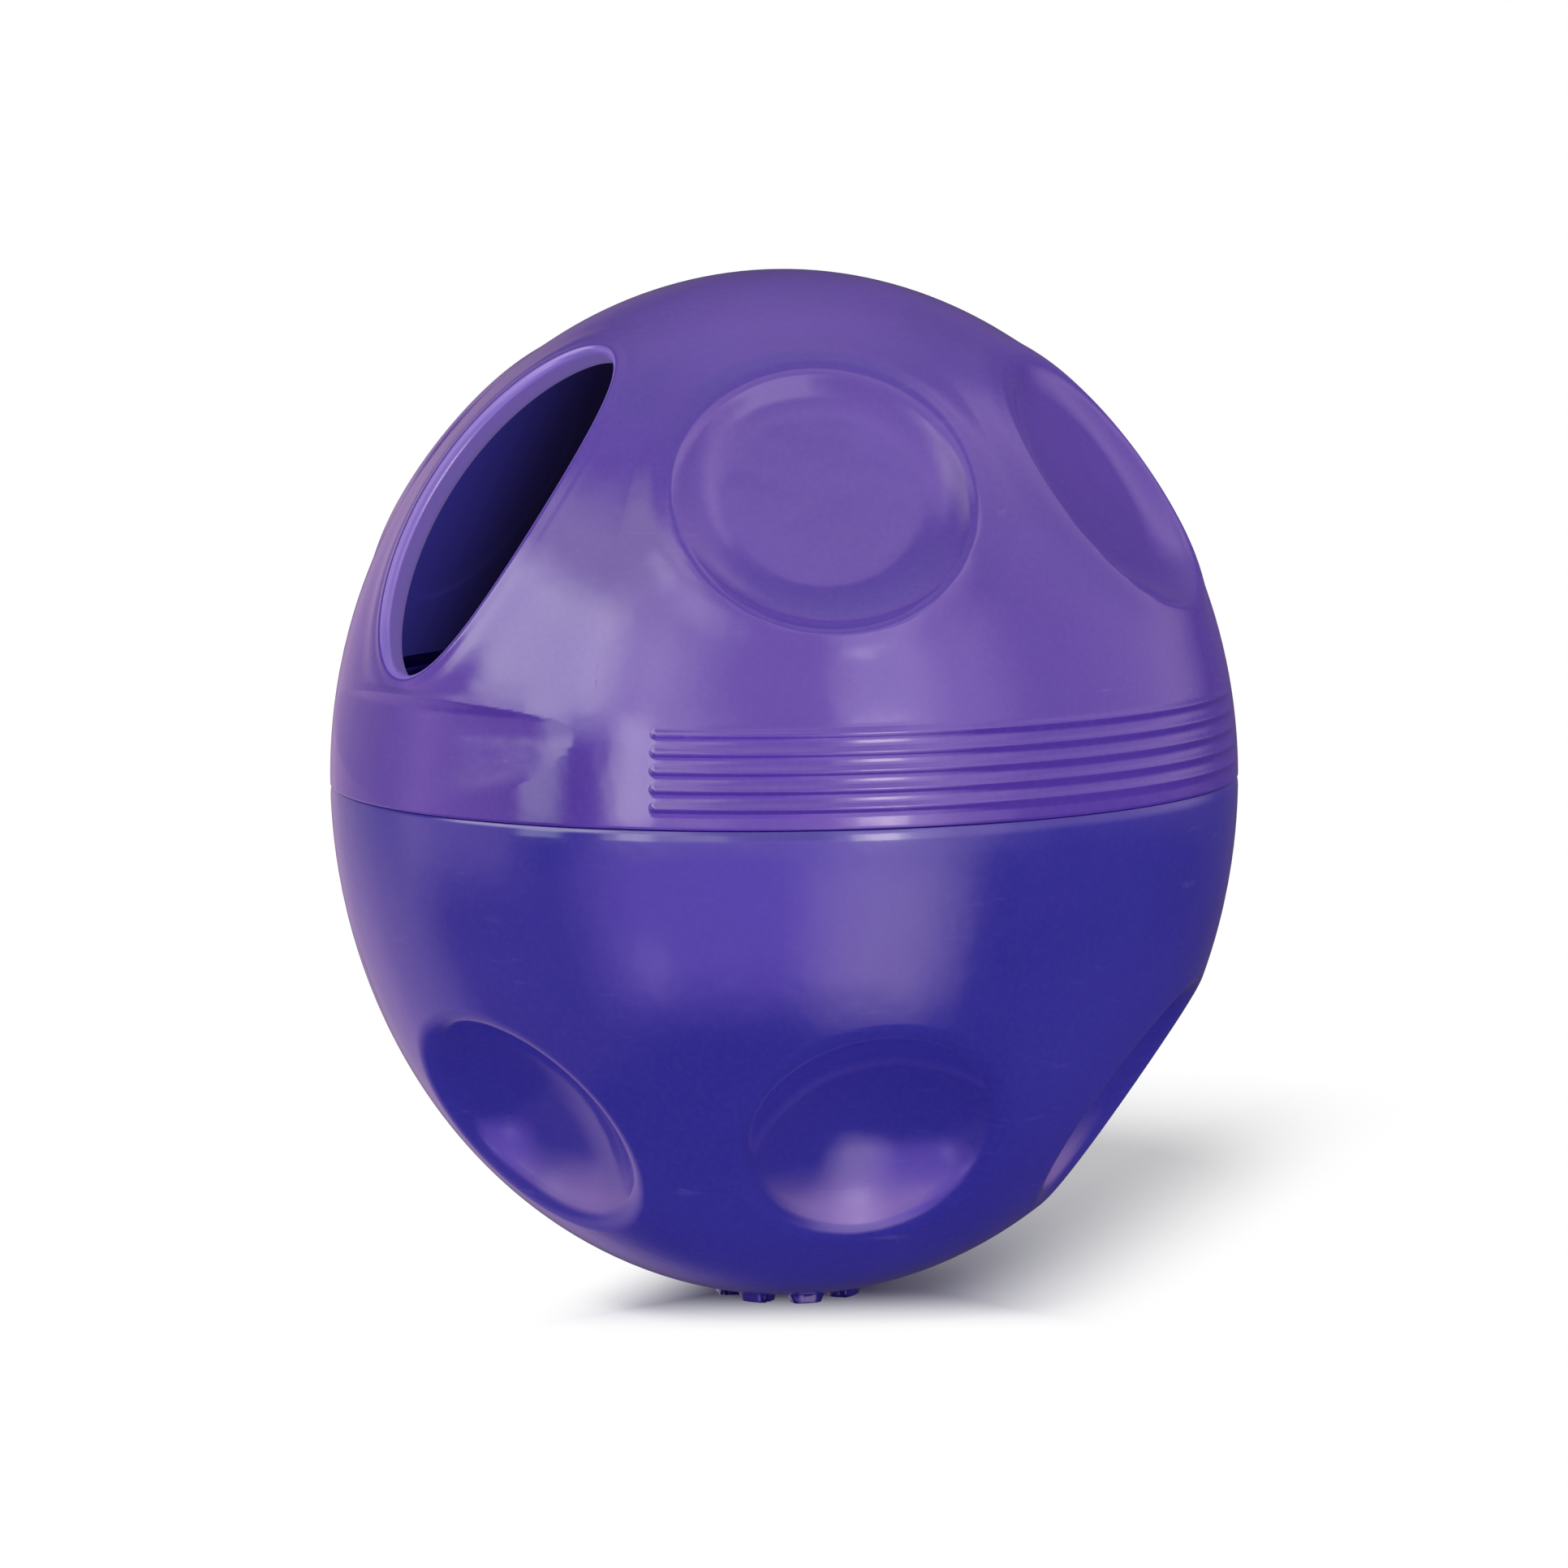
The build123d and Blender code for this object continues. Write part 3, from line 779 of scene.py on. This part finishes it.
def build_lower():
    mesh = Mesh()
    columns = column_azimuths(LOWER, [], [(LUG_START, -1), (LUG_END, 1)])
    heights = [-LOWER.band, -7.4, -6.0, -4.8, -3.8, -3.0, -2.4, -1.95, -1.6, -1.3, -1.05, -0.9,
               -0.8, -0.73, -0.64, -0.53, -0.42, -0.31, -0.22, -0.14, -0.09, -0.055, RIM_TOP_Z]
    outer_ring, previous = add_band(mesh, LOWER, columns, heights, rim_surface, z_step=0.003,
                                    normal_limit=-0.041)
    # flat shoulder, neck, lugs, and the inside down to the bowls:
    # height, radius off the lugs, on the lugs
    rows = [
        (RIM_TOP_Z, 30.6), (RIM_TOP_Z, 28.75), (0.0, NECK_OUT + 0.07), (0.05, NECK_OUT),
        (2.55, NECK_OUT),
        (2.90, NECK_OUT, LUG_OUT - 0.08),
        (2.96, NECK_OUT, LUG_OUT),
        (4.2, NECK_OUT, LUG_OUT),
        (4.5, NECK_OUT, LUG_OUT - 0.25),
        (4.7, NECK_OUT), (6.45, NECK_OUT), (6.62, NECK_OUT - 0.05), (6.74, NECK_OUT - 0.18),
        (NECK_TOP, NECK_OUT - 0.32), (NECK_TOP, NECK_IN + 0.30),
        (6.74, NECK_IN + 0.14), (6.6, NECK_IN), (3.0, NECK_IN), (-1.6, NECK_IN),
        (-2.4, NECK_IN + 0.05), (-3.4, 27.38), (-5.7, 28.1), (-7.2, 28.5),
    ]
    masks = [on_lock(columns, LUG_START, LUG_END)]
    previous = add_profile(mesh, LOWER, columns, previous, rows, masks)
    add_half(mesh, LOWER, columns, outer_ring, previous)
    return mesh.build("lower_shell_plastic")


upper = build_upper()
lower = build_lower()
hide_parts("upper_shell")
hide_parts("lower_shell")
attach(upper, "top")
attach(lower, "base")


# ---------------------------------------------------------------------------
# Materials

# where the camera stands: degrees, and millimetres from the ball's middle
VIEW_AZIMUTH, VIEW_ELEVATION, VIEW_DISTANCE = 53.2, 6.555, 350.0


class Nodes:
    """Small helper that builds a node tree from expressions."""

    def __init__(self, owner):
        owner.use_nodes = True
        self.tree = owner.node_tree
        self.tree.nodes.clear()

    def new(self, kind, **props):
        node = self.tree.nodes.new(kind)
        for key, value in props.items():
            setattr(node, key, value)
        return node

    def put(self, socket, value):
        """Links a socket, or sets a value; three numbers make an opaque colour."""
        if isinstance(value, bpy.types.NodeSocket):
            self.tree.links.new(value, socket)
        elif isinstance(value, tuple) and socket.type == "RGBA":
            socket.default_value = (*value, 1.0)
        else:
            socket.default_value = value

    def node(self, kind, inputs, **props):
        """A new node with its inputs put in by name or number."""
        node = self.new(kind, **props)
        for key, value in inputs.items():
            self.put(node.inputs[key], value)
        return node

    def math(self, operation, *values):
        return self.node("ShaderNodeMath", dict(enumerate(values)), operation=operation).outputs[0]

    def times(self, a, b):
        return self.math("MULTIPLY", a, b)

    def plus(self, a, b):
        return self.math("ADD", a, b)

    def ramp(self, x, start, end, low=0.0, high=1.0, kind="SMOOTHSTEP"):
        """Goes from low to high as x goes from start to end."""
        inputs = dict(enumerate((x, start, end, low, high)))
        return self.node("ShaderNodeMapRange", inputs, interpolation_type=kind,
                         clamp=True).outputs[0]

    def mix(self, share, a, b):
        return self.node("ShaderNodeMix", {0: share, 6: a, 7: b}, data_type="RGBA").outputs[2]

    def noise(self, vector, scale, detail=2.0, rough=0.5, distort=0.0):
        inputs = {"Vector": vector, "Scale": scale, "Detail": detail, "Roughness": rough,
                  "Distortion": distort}
        return self.node("ShaderNodeTexNoise", inputs).outputs["Fac"]

    def seen_from_camera(self, vector):
        """The vector's parts once turned so that the camera stands at -Y."""
        turned = self.node("ShaderNodeVectorRotate",
                           {"Vector": vector, "Angle": -math.radians(VIEW_AZIMUTH)},
                           rotation_type="Z_AXIS")
        return self.parts(turned.outputs[0])

    def parts(self, vector):
        return self.node("ShaderNodeSeparateXYZ", {0: vector}).outputs


def painted_bowl_highlight(nodes, position):
    """Mask of the painted highlight where the low parts of the bowls face upwards: light from
    above painted into the colour.
    """
    normal = nodes.parts(nodes.new("ShaderNodeNewGeometry").outputs["Normal"])
    facing_up = nodes.ramp(normal[2], start=-0.20, end=0.22)
    low_down = nodes.ramp(nodes.parts(position)[2], start=-0.0205, end=-0.0235)
    patchy = nodes.ramp(nodes.noise(position, scale=160), start=0.1, end=0.7, low=0.72, high=0.92)
    return nodes.times(nodes.times(facing_up, low_down), patchy)


def painted_wall_glow(nodes, position):
    """Painted glow for the inside faces, standing in for light through the thin wall: most at
    the camera's left and high up, falling away to the right and down."""
    seen = nodes.seen_from_camera(position)
    lean = nodes.plus(seen[0], nodes.times(seen[2], -0.52))
    far = nodes.ramp(lean, start=-0.0350, end=-0.0265)
    return nodes.mix(far, (0.0235, 0.0195, 0.165), (0.004, 0.003, 0.014))


def plastic(name, colours, roughness, inside=False, painted_highlight=None, glow=None):
    """Glossy moulded plastic: cloudy colour, fine orange peel, soft scuffs; on request a painted
    highlight in the low bowls, a painted glow, or the inside's painted shade and glow.
    """
    material = bpy.data.materials.new(name)
    nodes = Nodes(material)
    position = nodes.new("ShaderNodeTexCoord").outputs["Object"]
    cloud = nodes.noise(position, scale=55, detail=3.0, rough=0.55, distort=0.4)
    grain = nodes.noise(position, scale=2600)
    flat = nodes.node("ShaderNodeMapping", {"Vector": position, "Scale": Vector((260, 260, 1500))})
    scuff = nodes.noise(flat.outputs[0], scale=1.0, detail=4.0, rough=0.6, distort=0.3)
    scuff = nodes.ramp(scuff, start=0.60, end=0.78)
    patch = nodes.ramp(nodes.noise(position, scale=130), start=0.42, end=0.66)
    scuff = nodes.times(scuff, patch)

    # colour: the clouds, with a little wear in the grain and the scuffs
    grain_wear, scuff_wear = 0.02, 0.10
    deep, light, worn = colours
    colour = nodes.mix(nodes.ramp(cloud, start=0.3, end=0.7), deep, light)
    grain_mask = nodes.ramp(grain, start=0.35, end=0.75)
    colour = nodes.mix(nodes.times(grain_mask, grain_wear), colour, worn)
    colour = nodes.mix(nodes.times(scuff, scuff_wear), colour, worn)

    # roughness: what clouds, scuffs, the painted highlight and grain each add
    cloud_rough, scuff_rough, highlight_rough, grain_rough = 0.05, 0.10, 0.30, 0.02
    rough = nodes.plus(nodes.times(cloud, cloud_rough), roughness - 0.025)
    rough = nodes.plus(rough, nodes.times(scuff, scuff_rough))
    if painted_highlight:
        # painted highlight: the base colour is lightened where the bowls' low walls face up
        highlight_mask = painted_bowl_highlight(nodes, position)
        colour = nodes.mix(highlight_mask, colour, painted_highlight)
        rough = nodes.plus(rough, nodes.times(highlight_mask, highlight_rough))
    rough = nodes.plus(rough, nodes.times(grain, grain_rough))

    # relief: broad orange peel, a trace of finer peel, shallow scuffs
    fine_peel, scuff_depth = 0.012, 0.04
    height = nodes.plus(nodes.noise(position, scale=300, rough=0.45),
                        nodes.times(nodes.noise(position, scale=1500, detail=1.0), fine_peel))
    height = nodes.math("SUBTRACT", height, nodes.times(scuff, scuff_depth))
    bump = nodes.node("ShaderNodeBump", {"Strength": 1.0, "Distance": 0.00004, "Height": height})

    inputs = {"Roughness": rough, "Normal": bump.outputs[0], "IOR": 1.5}
    # painted glow: emission stands in for the highlight ring on the treat opening's lip
    if glow:
        inputs |= {"Emission Color": glow, "Emission Strength": 1.0}
    if inside:
        colour = nodes.mix(0.85, colour, (0.004, 0.003, 0.02))   # painted shade: mostly dark
        # painted shade and glow: the inside colour is darkened nearly to black, and a painted glow
        # stands in for light through the wall
        inputs |= {"Emission Color": painted_wall_glow(nodes, position), "Emission Strength": 1.0,
                   "Specular IOR Level": 0.2}
    shader = nodes.node("ShaderNodeBsdfPrincipled", inputs | {"Base Color": colour})
    nodes.node("ShaderNodeOutputMaterial", {0: shader.outputs[0]})
    return material


# deep, light and worn colour
UPPER_COLOURS = ((0.064, 0.025, 0.305), (0.081, 0.033, 0.350), (0.42, 0.34, 0.66))
LOWER_COLOURS = ((0.028, 0.022, 0.284), (0.034, 0.026, 0.310), (0.26, 0.22, 0.56))
for shell, materials in (
    (upper, [
        plastic("purple_upper", UPPER_COLOURS, roughness=0.13),
        plastic("purple_upper_inside_painted_shade", UPPER_COLOURS, roughness=0.25, inside=True),
        # the opening's lip carries a painted glow standing in for its highlight
        plastic("purple_upper_edge_painted_glow", UPPER_COLOURS, roughness=0.2, glow=(0.105, 0.078, 0.185)),
    ]),
    (lower, [
        # the lower plastic carries a painted highlight in its bowls
        plastic("violet_lower", LOWER_COLOURS, roughness=0.13, painted_highlight=(0.20, 0.118, 0.39)),
        plastic("violet_lower_inside_painted_shade", LOWER_COLOURS, roughness=0.25, inside=True),
    ]),
):
    for material in materials:
        shell.data.materials.append(material)
# the CAD nodes underneath carry the same plastics
for name, shell in (("upper_shell", upper), ("lower_shell", lower)):
    for ob in bpy.context.scene.objects:
        if ob.type == "MESH" and ob.name == name:
            ob.data.materials.clear()
            ob.data.materials.append(shell.data.materials[0])

# ---------------------------------------------------------------------------
# Studio: pale floor, soft boxes in the world, lamp for the shadow, camera

FLOOR_RINGS = [0.03, 0.08, 0.2, 0.5, 1.2, 3.0]   # radii
FLOOR_SEGMENTS = 96
FLOOR_GLOW = 0.9   # the floor's own light, as everything but the camera meets it


def floor_material():
    """Diffuse under the ball and its shadow, plain white light elsewhere."""
    material = bpy.data.materials.new("pale_floor")
    nodes = Nodes(material)
    x, y, _ = nodes.parts(nodes.new("ShaderNodeTexCoord").outputs["Object"])
    distance = nodes.math("SQRT", nodes.plus(nodes.times(x, x), nodes.times(y, y)))
    angle = math.radians(VIEW_AZIMUTH)
    cos, sin = math.cos(angle), math.sin(angle)
    across = nodes.plus(nodes.times(x, cos), nodes.times(y, sin))
    behind = nodes.plus(nodes.times(x, -sin), nodes.times(y, cos))
    # the shadow runs from the ball's foot to the back right; aside is square to it
    aside = nodes.math("SUBTRACT", nodes.times(across, 0.93), nodes.times(behind, 0.37))
    white = nodes.ramp(distance, start=0.06, end=0.16)
    for way, start, end in ((aside, 0.008, 0.0265),
                            (nodes.times(aside, -1.0), 0.0035, 0.0145),
                            (nodes.times(behind, -1.0), 0.0005, 0.0145)):
        white = nodes.math("MAXIMUM", white, nodes.ramp(way, start, end))
    seen = nodes.new("ShaderNodeLightPath").outputs["Is Camera Ray"]
    strength = nodes.plus(nodes.times(seen, 1.0 - FLOOR_GLOW), FLOOR_GLOW)
    diffuse = nodes.node("ShaderNodeBsdfDiffuse", {"Color": (0.60, 0.60, 0.60)})
    glow = nodes.node("ShaderNodeEmission", {"Color": (1.0, 1.0, 1.0), "Strength": strength})
    shader = nodes.node("ShaderNodeMixShader",
                        {0: white, 1: diffuse.outputs[0], 2: glow.outputs[0]})
    nodes.node("ShaderNodeOutputMaterial", {0: shader.outputs[0]})
    return material


def floor():
    """Round floor under the ball."""
    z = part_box("lower_shell")[0][2]
    count = FLOOR_SEGMENTS
    turns = [2 * math.pi * i / count for i in range(count)]
    vertices = [(0, 0, z)]
    vertices += [(r * math.cos(a), r * math.sin(a), z) for r in FLOOR_RINGS for a in turns]
    faces = [(0, 1 + i, 1 + (i + 1) % count) for i in range(count)]
    for k in range(len(FLOOR_RINGS) - 1):
        a, b = 1 + k * count, 1 + (k + 1) * count
        faces += [(a + i, b + i, b + (i + 1) % count, a + (i + 1) % count) for i in range(count)]
    data = bpy.data.meshes.new("floor")
    data.from_pydata(vertices, [], faces)
    ob = bpy.data.objects.new("floor", data)
    bpy.context.scene.collection.objects.link(ob)
    data.materials.append(floor_material())
    ob.visible_glossy = False
    return ob


# What the gloss mirrors.  Soft boxes: azimuth from, to and softness, elevation
# from, to and softness (degrees; azimuth 0 is towards the camera and negative
# to its left), strength in red, green and blue
BOXES = [
    (-96, -46, 7, 12, 35, 5, (5.8, 5.4, 4.8)),
    (-48, -24, 14, 14, 32, 6, (3.1, 2.8, 2.5)),
    (-84, -28, 12, 34, 52, 8, (2.5, 2.3, 1.3)),
    (-69, -57, 2.5, -7, 14, 2, (3.2, 3.0, 2.8)),
    (-43, -32, 2.5, -7, 14, 2, (5.4, 5.0, 4.8)),
    (-30, -13, 4, -5, 14, 3, (2.0, 1.9, 1.4)),
    (-110, -70, 8, -14, 12, 6, (1.1, 0.7, 1.0)),
    (-42, -33, 4, -37, -28, 4, (0.8, 0.7, 0.8)),
    (14, 40, 6, -7, 36, 3, (2.2, 1.9, 2.0)),
    (18, 30, 3, -7, 13, 2, (9.0, 8.2, 6.6)),
    (10, 44, 14, -42, -9, 9, (3.6, 2.5, 3.2)),
    (-45, 58, 14, -10, 62, 4, (1.75, 1.25, 1.60)),
    (40, 128, 14, -4, 62, 8, (1.25, 0.9, 1.1)),
    (-170, -105, 10, -40, 14, 12, (0.58, 0.40, 0.54)),
    (128, 172, 12, -10, 30, 12, (0.08, 0.05, 0.16)),
    (-50, 14, 14, -40, -8, 9, (1.7, 0.9, 2.9)),
    (-150, -50, 10, -50, -12, 5, (0.22, 0.12, 0.22)),
]
# plain vertical gradient: elevation, brightness
GRADIENT = [(-90, 0.0), (-60, 0.02), (0, 0.08), (20, 0.15), (35, 0.3), (50, 0.7), (62, 1.05),
            (78, 1.3), (90, 1.3)]
GRADIENT_TINT = (1.0, 0.78, 0.95)


def world():
    """Soft boxes over a gradient for the gloss; white to the camera and to diffuse light."""
    studio = bpy.data.worlds.new("studio")
    bpy.context.scene.world = studio
    nodes = Nodes(studio)
    studio.cycles.sampling_method = "NONE"
    x, y, z = nodes.seen_from_camera(nodes.new("ShaderNodeTexCoord").outputs["Generated"])
    azimuth = nodes.math("DEGREES", nodes.math("ARCTAN2", x, nodes.times(y, -1.0)))
    elevation = nodes.math("DEGREES", nodes.math("ARCSINE", z))
    gradient_ramp = nodes.node("ShaderNodeValToRGB",
                               {0: nodes.ramp(elevation, -90, 90, kind="LINEAR")})
    color_ramp = gradient_ramp.color_ramp
    color_ramp.interpolation = "B_SPLINE"
    while len(color_ramp.elements) < len(GRADIENT):
        color_ramp.elements.new(0.5)
    for element, (degrees, brightness) in zip(color_ramp.elements, GRADIENT):
        element.position = (degrees + 90) / 180
        element.color = (*(brightness * tint for tint in GRADIENT_TINT), 1)
    total = gradient_ramp.outputs[0]
    for left, right, side_soft, bottom, top, end_soft, rgb in BOXES:
        share = nodes.times(
            nodes.ramp(elevation, bottom - end_soft, bottom + end_soft),
            nodes.ramp(elevation, top - end_soft, top + end_soft, low=1.0, high=0.0))
        share = nodes.times(share, nodes.ramp(azimuth, left - side_soft, left + side_soft))
        share = nodes.times(share, nodes.ramp(azimuth, right - side_soft, right + side_soft,
                                              low=1.0, high=0.0))
        box = nodes.node("ShaderNodeVectorMath", {0: rgb, "Scale": share}, operation="SCALE")
        total = nodes.node("ShaderNodeVectorMath", {0: total, 1: box.outputs[0]},
                           operation="ADD").outputs[0]
    path = nodes.new("ShaderNodeLightPath")
    for ray in ("Is Diffuse Ray", "Is Camera Ray"):
        total = nodes.mix(path.outputs[ray], total, (1.0, 1.0, 1.0))
    background = nodes.node("ShaderNodeBackground", {0: total})
    nodes.node("ShaderNodeOutputWorld", {0: background.outputs[0]})


def direction(azimuth, elevation):
    a, e = math.radians(azimuth), math.radians(elevation)
    return Vector((math.sin(a) * math.cos(e), -math.cos(a) * math.cos(e), math.sin(e)))


def floor_lamp(target):
    """Large soft lamp at the front left; it lights the floor alone, so that the
    ball casts its shadow back and to the right."""
    left_of_camera, elevation, distance = 24, 50, 0.6
    data = bpy.data.lights.new("floor_lamp", "AREA")
    data.shape = "DISK"
    data.size = 0.30
    data.energy = 5.6
    ob = bpy.data.objects.new("floor_lamp", data)
    way = direction(VIEW_AZIMUTH - left_of_camera, elevation)
    ob.location = way * distance
    ob.rotation_euler = way.to_track_quat("Z", "Y").to_euler()
    ob.visible_glossy = False
    ob.visible_camera = False
    bpy.context.scene.collection.objects.link(ob)
    only = bpy.data.collections.new("floor_only")
    only.objects.link(target)
    ob.light_linking.receiver_collection = only


def camera():
    """Long lens a little above the ball's middle, slightly rolled."""
    roll = math.radians(0.619)
    back = direction(VIEW_AZIMUTH, VIEW_ELEVATION)
    angle = math.radians(VIEW_AZIMUTH)
    level = Vector((math.cos(angle), math.sin(angle), 0))
    upright = back.cross(level)
    right = level * math.cos(roll) - upright * math.sin(roll)
    up = upright * math.cos(roll) + level * math.sin(roll)
    data = bpy.data.cameras.new("camera")
    data.sensor_width = 36.0
    data.lens = 117.22
    data.shift_x = -0.000108696
    data.shift_y = -0.00607143
    data.clip_start = 0.01
    ob = bpy.data.objects.new("camera", data)
    place = back * VIEW_DISTANCE * MM + Vector((0, 0, PART_Z * MM))
    rows = [(right[i], up[i], back[i], place[i]) for i in range(3)]
    ob.matrix_world = Matrix((*rows, (0, 0, 0, 1)))
    bpy.context.scene.collection.objects.link(ob)
    bpy.context.scene.camera = ob


floor_lamp(floor())
world()
camera()
bpy.context.scene.view_settings.view_transform = "Standard"
